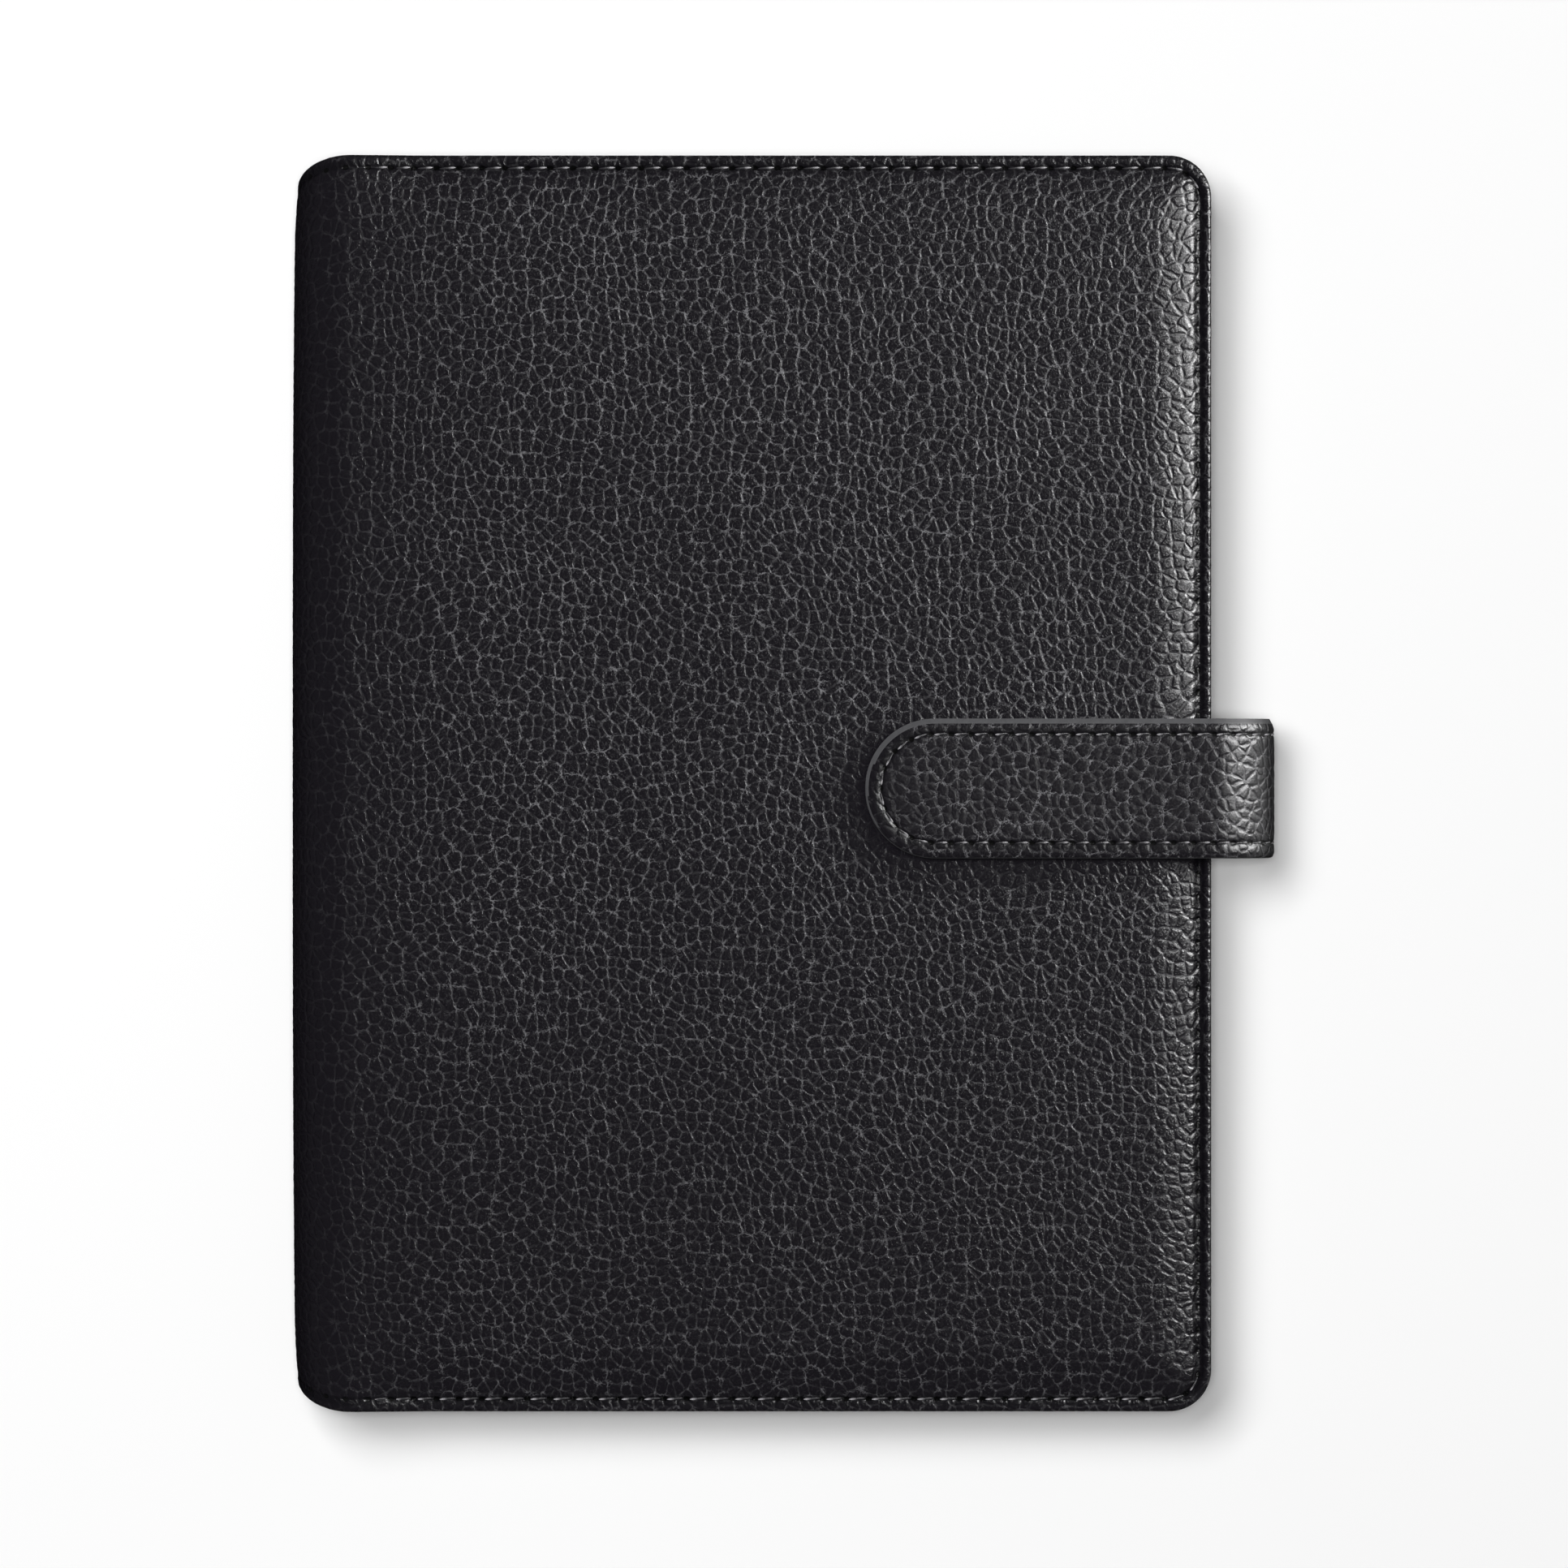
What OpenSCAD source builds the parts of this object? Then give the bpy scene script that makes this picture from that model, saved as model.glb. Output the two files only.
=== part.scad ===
// Padded leather cover for an A5 notebook, closed by a strap with a magnetic snap,
// shown shut, with the hardcover notebook that slips into its two pockets.
// It lies on its back cover. +Z goes up through the front cover, +X points to the
// fore-edge and the strap, and +Y points to the head of the notebook.
// The origin is the middle of the back cover's outside face.

/* [Cover] */
// Width of the shut cover, from the spine to the fore-edge
cover_w = 165; // [164:0.5:168]
// Height of the cover, from tail to head
cover_h = 225; // [222:1:232]
// Thickness of the shut cover, which is also the width of its round spine
cover_t = 22; // [22:0.5:25]
// Radius of the two corners at the fore-edge
corner_r = 7.5; // [6:0.5:10]
// Radius of the softened corners at the ends of the spine
spine_corner_r = 5.5; // [3:0.5:6]

/* [Layers of the cover] */
// Outer leather
leather_t = 1.2; // [1:0.1:1.4]
// Foam padding under the leather
padding_t = 1.4; // [1.2:0.1:1.6]
// Stiffening board under the foam
board_t = 1; // [0.8:0.1:1.1]
// Lining that faces the notebook
lining_t = 0.4; // [0.3:0.1:0.5]
// Stiff strip inside the middle of the spine
spine_stay_t = 0.8; // [0.6:0.1:1]
// Distance of the edge stitching from the edge
stitch_inset = 2.3; // [2:0.1:3]
// Thickness of the sewing thread
thread_w = 0.5; // [0.4:0.1:0.6]

/* [Pockets] */
// Width of each pocket, measured from the fore-edge
pocket_w = 75; // [60:1:80]
// Thickness of the pocket leather
pocket_t = 0.7; // [0.6:0.1:0.8]
// Width of a card slot
card_slot_w = 62; // [58:1:66]
// Thickness of a card slot's leather
card_slot_t = 0.5; // [0.4:0.1:0.5]
// Distance of the card slots from the fore-edge
card_slot_margin = 5; // [4:0.5:6]
// Heights of the card slots, from the tail side to the head side
card_slot_h = [44, 12, 12];

/* [Notebook] */
// Width of the notebook's boards
notebook_w = 148.5; // [146:0.5:149]
// Height of the notebook's boards
notebook_h = 210; // [205:1:214]
// Thickness of a notebook board
notebook_board_t = 1.8; // [1.5:0.1:1.9]
// How far the boards stand out past the pages
page_margin = 1.5; // [1:0.5:3]

/* [Strap] */
// Width of the strap
strap_w = 25; // [20:0.5:30]
// How far the strap reaches over the front cover
strap_reach = 62; // [50:1:70]
// Gap between the strap and the front cover
strap_lift = 0.45; // [0.4:0.05:0.6]
// Thickness of each of the strap's two layers
strap_layer_t = 1.1; // [1:0.05:1.1]
// Length of the strap's tail inside the back cover
strap_tail = 16; // [12:1:20]
// How far the strap's middle lies from the cover's middle
strap_y = -0.9; // [-5:0.1:5]
// Distance of the strap stitching from the strap's edge
strap_stitch_inset = 2.8; // [2:0.1:3.5]

/* [Snap] */
// Diameter of the magnetic snap
snap_d = 15; // [12:0.5:16]
// Diameter of the stud's nose
stud_d = 4.6; // [4:0.1:6]
// Diameter of the washers behind the snap halves
washer_d = 12; // [10:0.5:12]
// Thickness of the washers and of the stud's flange
plate_t = 0.5; // [0.4:0.05:0.5]
// Thickness of the socket
socket_t = 2.3; // [2:0.1:2.3]

/* [Hidden] */
$fn = 96;

hide = [0.13, 0.12, 0.14];
cloth = [0.25, 0.25, 0.27];
grey_board = [0.55, 0.53, 0.5];
foam = [0.85, 0.83, 0.72];
paper = [0.96, 0.94, 0.88];
thread = [0.3, 0.29, 0.31];
nickel = [0.75, 0.75, 0.77];
ferrite = [0.2, 0.2, 0.21];

// clearance between pieces of one body, and between pieces that move past each other
snug = 0.2;
free = 0.3;

// the round spine, a half ring about a line that runs from tail to head
spine_r = cover_t / 2;
spine_x = spine_r - cover_w / 2;
hinge_slope = 3;
panel_x = spine_x + hinge_slope;
seam_deg = 0.8;

// levels above the outside face, for each cover
board_z = leather_t + padding_t;
lining_z = board_z + board_t;
inside_z = lining_z + lining_t;
book_z = inside_z + snug;
pocket_z = book_z + notebook_board_t + snug;

// margins from the cover's outline
turn_in_w = stitch_inset + 1.5;
padding_margin = turn_in_w + 0.1;
lining_margin = 1;
spine_lining_margin = spine_corner_r + 1;
spine_stay_margin = spine_lining_margin + 2;
pocket_seam_w = 1.6;
pocket_x = cover_w / 2 - pocket_w;

// the groove that the thread lies in, and the depths of the thread's two faces
groove_w = thread_w + snug;
groove_depth = 0.5;
thread_top = 0.1;
thread_bottom = 0.45;

// the notebook inside
book_corner_r = 5;
book_right = cover_w / 2 - 4.5;
book_left = book_right - notebook_w;
page_left = book_left - 2;
page_right = book_right - page_margin;
page_top = cover_t / 2 - 0.1;
page_step_w = 4;
spine_cloth_t = 0.9;
glue = 0.1;

// the strap, a half ring beside the fore-edge with a straight end over the front
strap_t = 2 * strap_layer_t;
strap_z = leather_t + 0.15;
strap_top = cover_t + strap_lift + strap_t;
strap_r = (strap_top - strap_z) / 2;
strap_mid_z = strap_z + strap_r;
strap_x = cover_w / 2;
strap_tip_x = strap_x - strap_reach;
strap_tail_x = strap_x - strap_tail;

// the snap, centred in the strap's round end
snap_x = strap_tip_x + strap_w / 2;
socket_top = cover_t + strap_lift - 0.1;
socket_wall = 0.4;
bore_d = stud_d + 2 * free;
stud_nose = 1.6;

// ---- shared shapes ----

// Outline of the shut cover from above, drawn in by a margin on three sides.
module cover_outline(margin) {
    r = corner_r - margin;
    left = -cover_w / 2;
    right = cover_w / 2 - margin;
    half_h = cover_h / 2 - margin;
    translate([left + spine_corner_r, -half_h])
        square([right - r - left - spine_corner_r, 2 * half_h]);
    translate([left, -half_h + spine_corner_r])
        square([2 * spine_corner_r, 2 * (half_h - spine_corner_r)]);
    translate([right - 2 * r, -half_h + r])
        square([2 * r, 2 * (half_h - r)]);
    for (side = [-1, 1]) {
        translate([right - r, side * (half_h - r)]) circle(r);
        translate([left + spine_corner_r, side * (half_h - spine_corner_r)]) circle(spine_corner_r);
    }
}

// The part of a flat outline that lies to the right of x.
module right_of(x) {
    intersection() {
        children();
        translate([x, -cover_h]) square([2 * cover_w, 2 * cover_h]);
    }
}

// Runs an X-Z outline from tail to head.
module along_height(h) {
    rotate([90, 0, 0]) linear_extrude(h, center = true) children();
}

// Sector of a ring about the origin.
module ring_sector(inner, outer, from, to) {
    intersection() {
        difference() {
            circle(outer);
            circle(inner);
        }
        polygon([[0, 0], for (a = [from, (from + to) / 2, to]) 2 * outer * [cos(a), sin(a)]]);
    }
}

// Stretch of the round spine, in the X-Z plane, between two depths from outside.
module spine_sector(from_depth, to_depth, from, to) {
    translate([spine_x, spine_r])
        ring_sector(spine_r - to_depth, spine_r - from_depth, from, to);
}

// Puts a piece made for the back cover on the front cover.
module on_front() {
    translate([0, 0, cover_t]) mirror([0, 0, 1]) children();
}

// ---- pieces that both covers have, made for the back cover ----

// Leather: flat panel, turned-in edge on three sides and the start of the spine's curve.
module cover_leather() {
    difference() {
        union() {
            intersection() {
                along_height(cover_h) {
                    spine_sector(0, leather_t, 225 + seam_deg, 270);
                    translate([spine_x, 0]) square([cover_w, leather_t]);
                }
                linear_extrude(cover_t) cover_outline(0);
            }
            linear_extrude(lining_z) right_of(panel_x) difference() {
                cover_outline(0);
                cover_outline(turn_in_w);
            }
        }
        translate([0, 0, -1]) linear_extrude(1 + groove_depth) stitch_line(groove_w);
    }
}

// Line of the edge stitching, open at the spine.
module stitch_line(w) {
    right_of(panel_x) difference() {
        cover_outline(stitch_inset - w / 2);
        cover_outline(stitch_inset + w / 2);
    }
}

module cover_thread() {
    translate([0, 0, thread_top])
        linear_extrude(thread_bottom - thread_top) stitch_line(thread_w);
}

module cover_padding() {
    translate([0, 0, leather_t])
        linear_extrude(padding_t) right_of(panel_x + snug) cover_outline(padding_margin);
}

module cover_board() {
    translate([0, 0, board_z])
        linear_extrude(board_t) right_of(panel_x + snug) cover_outline(padding_margin);
}

// Lining: flat over the board, and down on to the leather where the cover bends.
module cover_lining() {
    intersection() {
        along_height(cover_h) {
            spine_sector(leather_t, leather_t + lining_t, 225 + seam_deg, 270);
            polygon([
                [spine_x, leather_t], [panel_x, lining_z], [cover_w, lining_z],
                [cover_w, inside_z], [panel_x, inside_z], [spine_x, leather_t + lining_t]
            ]);
        }
        linear_extrude(cover_t) cover_outline(lining_margin);
    }
}

// Pocket: a leather panel sewn on at its three outer edges, open towards the spine.
module cover_pocket() {
    translate([0, 0, pocket_z])
        linear_extrude(pocket_t) right_of(pocket_x) cover_outline(lining_margin);
    translate([0, 0, inside_z])
        linear_extrude(pocket_z - inside_z) right_of(pocket_x) difference() {
            cover_outline(lining_margin);
            cover_outline(lining_margin + pocket_seam_w);
        }
}

// Board of the notebook, with round corners at the fore-edge.
module notebook_board() {
    translate([0, 0, book_z]) linear_extrude(notebook_board_t) book_outline(0);
}

module book_outline(margin) {
    half_h = notebook_h / 2 - margin;
    right = book_right - margin;
    translate([book_left, -half_h]) square([right - book_corner_r - book_left, 2 * half_h]);
    translate([book_left, book_corner_r - half_h])
        square([right - book_left, 2 * (half_h - book_corner_r)]);
    for (side = [-1, 1])
        translate([right - book_corner_r, side * (half_h - book_corner_r)]) circle(book_corner_r);
}

// ---- back cover ----

// Room for the strap's tail between the leather and the lining.
module strap_room() {
    translate([strap_tail_x - snug, strap_y - strap_w / 2 - snug, leather_t])
        cube([cover_w, strap_w + 2 * snug, cover_t]);
}

module back_leather() {
    color(hide) difference() {
        cover_leather();
        strap_room();
    }
}

module back_padding() {
    color(foam) difference() {
        cover_padding();
        strap_room();
    }
}

module back_board() {
    color(grey_board) difference() {
        cover_board();
        strap_room();
    }
}

module back_lining() {
    color(cloth) cover_lining();
}

module back_pocket() {
    color(hide) cover_pocket();
}

module back_stitching() {
    color(thread) cover_thread();
}

// ---- spine ----

module spine_leather() {
    color(hide) spine_layer(0, leather_t, 0);
}

module spine_stay() {
    color(grey_board) spine_layer(leather_t, leather_t + spine_stay_t, spine_stay_margin);
}

module spine_lining() {
    stay = leather_t + spine_stay_t;
    color(cloth) spine_layer(stay, stay + lining_t, spine_lining_margin);
}

// Middle stretch of the spine, drawn in from tail and head by a margin.
module spine_layer(from_depth, to_depth, margin) {
    intersection() {
        along_height(cover_h - 2 * margin)
            spine_sector(from_depth, to_depth, 135 + seam_deg, 225 - seam_deg);
        linear_extrude(cover_t) cover_outline(0);
    }
}

// ---- front cover ----

// Hole for the snap's socket, down to the board.
module socket_room() {
    translate([snap_x, strap_y, cover_t - board_z])
        cylinder(h = cover_t, d = snap_d + 2 * snug);
}

module front_leather() {
    color(hide) difference() {
        on_front() cover_leather();
        socket_room();
    }
}

module front_padding() {
    color(foam) difference() {
        on_front() cover_padding();
        socket_room();
    }
}

module front_board() {
    color(grey_board) on_front() cover_board();
}

module front_lining() {
    color(cloth) on_front() cover_lining();
}

module front_pocket() {
    color(hide) on_front() cover_pocket();
}

module front_stitching() {
    color(thread) on_front() cover_thread();
}

// Card slots lie in a row on the front pocket, one above the other from tail to head.
module card_slot(row) {
    below = [0, card_slot_h[0], card_slot_h[0] + card_slot_h[1]];
    start = -(card_slot_h[0] + card_slot_h[1] + card_slot_h[2]) / 2;
    slot_x = cover_w / 2 - card_slot_margin - card_slot_w;
    slot_z = cover_t - pocket_z - pocket_t - glue - card_slot_t;
    color(hide) translate([slot_x, start + below[row], slot_z])
        cube([card_slot_w, card_slot_h[row] - snug, card_slot_t]);
}

module card_slot_lower() {
    card_slot(0);
}

module card_slot_middle() {
    card_slot(1);
}

module card_slot_upper() {
    card_slot(2);
}

// Socket of the snap: a metal shell, open below, with a hole for the stud.
module snap_socket() {
    color(nickel) translate([snap_x, strap_y, socket_top - socket_t]) difference() {
        cylinder(h = socket_t, d = snap_d);
        translate([0, 0, -socket_wall]) cylinder(h = socket_t, d = snap_d - 2 * socket_wall);
        cylinder(h = socket_t + 1, d = bore_d);
    }
}

// Ring magnet inside the socket's shell.
module snap_magnet() {
    magnet_h = socket_t - socket_wall - 2 * glue;
    color(ferrite) translate([snap_x, strap_y, socket_top - socket_t + glue]) difference() {
        cylinder(h = magnet_h, d = snap_d - 2 * socket_wall - 2 * glue);
        translate([0, 0, -1]) cylinder(h = magnet_h + 2, d = bore_d);
    }
}

module socket_washer() {
    color(nickel) translate([snap_x, strap_y, cover_t - board_z + glue / 2])
        cylinder(h = plate_t, d = washer_d);
}

// ---- notebook ----

module notebook_back_board() {
    color(cloth) notebook_board();
}

module notebook_front_board() {
    color(cloth) on_front() notebook_board();
}

// Half of the page block: it lies on its board and steps over the pocket and what is on it.
module page_half(board_gap, pocket_level) {
    board_level = book_z + notebook_board_t + board_gap;
    step_end = pocket_x - free;
    step_start = step_end - page_step_w;
    intersection() {
        along_height(cover_h) polygon([
            [page_left, board_level], [step_start, board_level], [step_end, pocket_level],
            [page_right, pocket_level], [page_right, page_top], [page_left, page_top]
        ]);
        linear_extrude(cover_t) {
            book_outline(page_margin);
            translate([page_left, page_margin - notebook_h / 2])
                square([book_corner_r, notebook_h - 2 * page_margin]);
        }
    }
}

module lower_pages() {
    color(paper) page_half(glue, pocket_z + pocket_t + snug);
}

module upper_pages() {
    color(paper) on_front() page_half(free, pocket_z + pocket_t + glue + card_slot_t + free);
}

// Cloth along the back of the page block, which splits where the block opens.
module spine_cloth(low) {
    h = notebook_h - 2 * page_margin;
    translate([page_left - glue - spine_cloth_t, -h / 2, low])
        cube([spine_cloth_t, h, page_top - low]);
}

module lower_spine_cloth() {
    color(cloth) spine_cloth(book_z);
}

module upper_spine_cloth() {
    color(cloth) on_front() spine_cloth(book_z + notebook_board_t + free);
}

// ---- strap ----

// X-Z outline of one stretch of the strap, between two depths below its outer face.
module strap_profile(stretch, from_depth, to_depth) {
    depth = to_depth - from_depth;
    if (stretch == "root") {
        strap_sector(from_depth, to_depth, 270, 315 - seam_deg);
        translate([strap_tail_x, strap_z + from_depth]) square([strap_x - strap_tail_x, depth]);
    }
    if (stretch == "side")
        strap_sector(from_depth, to_depth, 315 + seam_deg, 405 - seam_deg);
    if (stretch == "tab") {
        strap_sector(from_depth, to_depth, 405 + seam_deg, 450);
        translate([strap_tip_x, strap_top - to_depth]) square([strap_reach, depth]);
    }
}

module strap_sector(from_depth, to_depth, from, to) {
    translate([strap_x, strap_mid_z])
        ring_sector(strap_r - to_depth, strap_r - from_depth, from, to);
}

// Outline of the strap from above, drawn in by a margin, with its round end.
module strap_outline(margin) {
    half = strap_w / 2 - margin;
    translate([snap_x, 0]) circle(half);
    translate([snap_x, -half]) square([strap_reach + strap_r, 2 * half]);
}

// One layer of one stretch of the strap, cut to an outline from above.
module strap_cut(stretch, from_depth, to_depth) {
    translate([0, strap_y, 0]) intersection() {
        along_height(strap_w) strap_profile(stretch, from_depth, to_depth);
        linear_extrude(strap_top + 1) children();
    }
}

module strap_stitch_line(w) {
    difference() {
        strap_outline(strap_stitch_inset - w / 2);
        strap_outline(strap_stitch_inset + w / 2);
    }
}

module strap_leather(stretch) {
    color(hide) difference() {
        strap_cut(stretch, 0, strap_layer_t) strap_outline(0);
        strap_cut(stretch, -0.5, groove_depth) strap_stitch_line(groove_w);
    }
}

module strap_lining(stretch) {
    color(cloth) strap_cut(stretch, strap_layer_t, strap_t) strap_outline(0);
}

module strap_thread(stretch) {
    color(thread) strap_cut(stretch, thread_top, thread_bottom) strap_stitch_line(thread_w);
}

module strap_root_leather() {
    strap_leather("root");
}

module strap_root_lining() {
    strap_lining("root");
}

module strap_root_stitching() {
    strap_thread("root");
}

module strap_side_leather() {
    strap_leather("side");
}

module strap_side_lining() {
    strap_lining("side");
}

module strap_side_stitching() {
    strap_thread("side");
}

module strap_tab_leather() {
    strap_leather("tab");
}

// The tab's lining has a hole for the flange of the stud and its washer.
module strap_tab_lining() {
    difference() {
        strap_lining("tab");
        translate([snap_x, strap_y, strap_top - strap_t - 1])
            cylinder(h = 1 + strap_layer_t, d = snap_d + 2 * snug);
    }
}

module strap_tab_stitching() {
    strap_thread("tab");
}

// Stud of the snap: a flange in the lining and a nose in the socket's hole.
module snap_stud() {
    color(nickel) translate([snap_x, strap_y, strap_top - strap_t + glue / 2]) {
        cylinder(h = plate_t, d = snap_d);
        translate([0, 0, -stud_nose]) cylinder(h = stud_nose + plate_t, d = stud_d);
    }
}

module stud_washer() {
    color(nickel) translate([snap_x, strap_y, strap_top - strap_layer_t - plate_t])
        cylinder(h = plate_t - glue / 2, d = washer_d);
}

back_leather();
back_padding();
back_board();
back_lining();
back_pocket();
back_stitching();
spine_leather();
spine_stay();
spine_lining();
front_leather();
front_padding();
front_board();
front_lining();
front_pocket();
front_stitching();
card_slot_lower();
card_slot_middle();
card_slot_upper();
snap_socket();
snap_magnet();
socket_washer();
notebook_back_board();
notebook_front_board();
lower_pages();
upper_pages();
lower_spine_cloth();
upper_spine_cloth();
strap_root_leather();
strap_root_lining();
strap_root_stitching();
strap_side_leather();
strap_side_lining();
strap_side_stitching();
strap_tab_leather();
strap_tab_lining();
strap_tab_stitching();
snap_stud();
stud_washer();
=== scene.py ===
import math

import bpy
import numpy as np
from mathutils import Matrix, Vector


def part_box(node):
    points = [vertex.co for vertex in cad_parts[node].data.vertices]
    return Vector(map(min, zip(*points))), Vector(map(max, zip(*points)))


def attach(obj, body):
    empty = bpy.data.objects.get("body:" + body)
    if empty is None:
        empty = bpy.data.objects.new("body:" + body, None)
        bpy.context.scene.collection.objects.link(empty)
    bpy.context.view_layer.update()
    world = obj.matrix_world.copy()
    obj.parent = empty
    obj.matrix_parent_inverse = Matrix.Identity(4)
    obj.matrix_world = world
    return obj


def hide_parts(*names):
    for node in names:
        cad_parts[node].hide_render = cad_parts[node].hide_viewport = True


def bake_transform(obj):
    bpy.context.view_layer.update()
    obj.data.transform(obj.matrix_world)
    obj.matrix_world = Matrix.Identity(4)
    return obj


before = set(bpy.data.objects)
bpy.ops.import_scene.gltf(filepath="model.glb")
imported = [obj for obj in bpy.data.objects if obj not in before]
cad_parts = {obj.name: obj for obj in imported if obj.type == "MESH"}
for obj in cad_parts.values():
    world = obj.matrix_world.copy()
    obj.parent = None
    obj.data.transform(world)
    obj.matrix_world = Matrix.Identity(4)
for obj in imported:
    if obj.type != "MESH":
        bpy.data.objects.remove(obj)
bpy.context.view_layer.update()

MM = 0.001

# ---- places and sizes, from the frame ----

_, cover_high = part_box("front_leather")
spine_low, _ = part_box("spine_leather")
lining_low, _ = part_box("front_lining")
board_low, board_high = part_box("front_board")
pocket_low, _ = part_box("front_pocket")
tab_low, tab_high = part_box("strap_tab_leather")
strap_side_low, strap_side_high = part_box("strap_side_leather")
tail_low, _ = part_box("strap_root_leather")
socket_low, socket_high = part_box("snap_socket")
stud_low, stud_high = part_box("snap_stud")

fore_x = cover_high.x
half_h = cover_high.y
top_z = cover_high.z
mid_z = top_z / 2
spine_r = mid_z
spine_x = spine_low.x + spine_r
panel_x = board_low.x - 0.2 * MM
arc_run = spine_r * math.pi / 2
cover_run = arc_run + fore_x - spine_x
corner_r = 7.5 * MM
# The round spine's ends are drawn in, and its outline bows a little.
spine_pull = 4.8 * MM
spine_bow = 0.05

leather_t = 1.2 * MM
turned_depth = top_z - board_low.z - 0.02 * MM
panel_depth = top_z - board_high.z - 0.02 * MM
border_depth = 2.1 * MM
swell_height = 0.35 * MM
stitch_inset = 2.3 * MM
stitch_pitch = 4.1 * MM
groove_shift = 0.4 * MM
hem_stitch_pitch = 3.47 * MM
card_stitch_pitch = 2.8 * MM
pebble_rise = 0.03 * MM
sheet_inset = 1 * MM
sheet_t = 0.35 * MM
pocket_t = 0.7 * MM

strap_y = (tab_low.y + tab_high.y) / 2
strap_half = (tab_high.y - tab_low.y) / 2
strap_x = fore_x
strap_mid_z = (strap_side_low.z + strap_side_high.z) / 2
strap_r = tab_high.z - strap_mid_z
strap_arc_run = strap_r * math.pi / 2
strap_layer_t = 1.1 * MM
strap_stitch_inset = 2.8 * MM
strap_stitch_pitch = 3.6 * MM
tab_run = strap_arc_run + strap_x - tab_low.x
tail_run = strap_arc_run + strap_x - tail_low.x
snap_x = (socket_low.x + socket_high.x) / 2
snap_r = (socket_high.x - socket_low.x) / 2
snap_well_r = snap_r + 0.25 * MM
snap_well_depth = 1.95 * MM

# Millimetres from a sewn edge to each mesh line, close together at the rim and the groove.
BORDER_LINES = [0, 0.1, 0.3, 0.6, 1, 1.5, 1.95, 2.15, 2.3, 2.45, 2.65, 2.95, 3.3, 3.45, 3.6, 3.7, 3.8]
STRAP_LINES = [0, 0.15, 0.35, 0.6, 0.9, 1.2, 1.6, 2.1, 2.5, 2.8, 3.1, 3.5, 4]
HEM_LINES = [0, 0.4, 1, 1.8, 2.6, 3.4, 4.2]


# ---- working on pieces ----

def put_down():
    """Leaves edit mode and selects nothing."""
    if bpy.context.object and bpy.context.object.mode != "OBJECT":
        bpy.ops.object.mode_set(mode="OBJECT")
    bpy.ops.object.select_all(action="DESELECT")


def pick_up(*pieces):
    """Selects these pieces and makes the first one active."""
    put_down()
    for piece in pieces:
        piece.select_set(True)
    bpy.context.view_layer.objects.active = pieces[0]


def named(name):
    """Names the piece that was just added and settles its place into its mesh."""
    piece = bpy.context.object
    piece.name = name
    piece.data.name = name
    bpy.ops.object.transform_apply(location=True, rotation=True, scale=True)
    return piece


def points_of(piece):
    points = np.empty(len(piece.data.vertices) * 3)
    piece.data.vertices.foreach_get("co", points)
    return points.reshape(-1, 3)


def move_points(piece, points):
    piece.data.vertices.foreach_set("co", points.ravel())
    piece.data.update()


def edit(piece):
    """Starts edit mode on all of a piece."""
    pick_up(piece)
    bpy.ops.object.mode_set(mode="EDIT")
    bpy.ops.mesh.select_all(action="SELECT")


def turn_faces_out(piece):
    edit(piece)
    bpy.ops.mesh.normals_make_consistent(inside=False)
    put_down()


def smooth(piece, degrees=50):
    pick_up(piece)
    bpy.ops.object.shade_smooth_by_angle(angle=math.radians(degrees))


def add_uv(piece, name, across, up):
    """Gives the piece a UV map from one pair of values for each point."""
    layer = piece.data.uv_layers.new(name=name)
    corners = np.empty(len(piece.data.loops), int)
    piece.data.loops.foreach_get("vertex_index", corners)
    layer.data.foreach_set("uv", np.stack([across[corners], up[corners]], axis=1).ravel())


def add_values(piece, name, values):
    attribute = piece.data.attributes.new(name, "FLOAT", "POINT")
    attribute.data.foreach_set("value", values.astype(np.float32))


def values_of(piece, name):
    values = np.empty(len(piece.data.vertices), np.float32)
    piece.data.attributes[name].data.foreach_get("value", values)
    return values.astype(float)


def apply_modifiers(piece):
    pick_up(piece)
    for modifier in list(piece.modifiers):
        bpy.ops.object.modifier_apply(modifier=modifier.name)


def ease(value, low, high):
    """0 below low, 1 above high, and a smooth rise between."""
    t = np.clip((value - low) / (high - low), 0, 1)
    return t * t * (3 - 2 * t)


def mesh_lines(length, step, count_by, at_start=(0,), at_end=(0,)):
    """Places of mesh lines along a length: close together at its ends and step apart between."""
    start = np.array(at_start) * MM
    end = length - np.array(at_end)[::-1] * MM
    fixed = len(start) + len(end) - 2
    between = max(count_by, round((end[0] - start[-1]) / step))
    between += -(fixed + between) % count_by
    inner = np.linspace(start[-1], end[0], between + 1)[1:-1]
    return np.concatenate([start, inner, end])


def slab(name, columns, rows):
    """A closed slab, 1 by 1 by 1, whose top and bottom are grids of columns by rows cells."""
    put_down()
    middle = (0.5, 0.5, 0)
    bpy.ops.mesh.primitive_grid_add(x_subdivisions=columns, y_subdivisions=rows, size=1, location=middle)
    piece = named(name)
    edit(piece)
    bpy.ops.mesh.extrude_region_move(TRANSFORM_OT_translate={"value": (0, 0, 1)})
    turn_faces_out(piece)
    return piece


def subdivide_top(piece, cuts):
    """Cuts each cell of the slab's top into smaller ones."""
    edit(piece)
    bpy.ops.mesh.select_mode(type="FACE")
    bpy.ops.mesh.select_all(action="DESELECT")
    bpy.ops.object.mode_set(mode="OBJECT")
    for face in piece.data.polygons:
        face.select = face.normal.z > 0.5
    bpy.ops.object.mode_set(mode="EDIT")
    bpy.ops.mesh.subdivide(number_cuts=cuts)
    put_down()


def lines_at(lines, share):
    """Place of a share of the grid, from 0 to 1, among the mesh lines."""
    return np.interp(share * (len(lines) - 1), np.arange(len(lines)), lines)


# ---- the covers' outside, as a flat pattern that is laid over them ----

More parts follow.
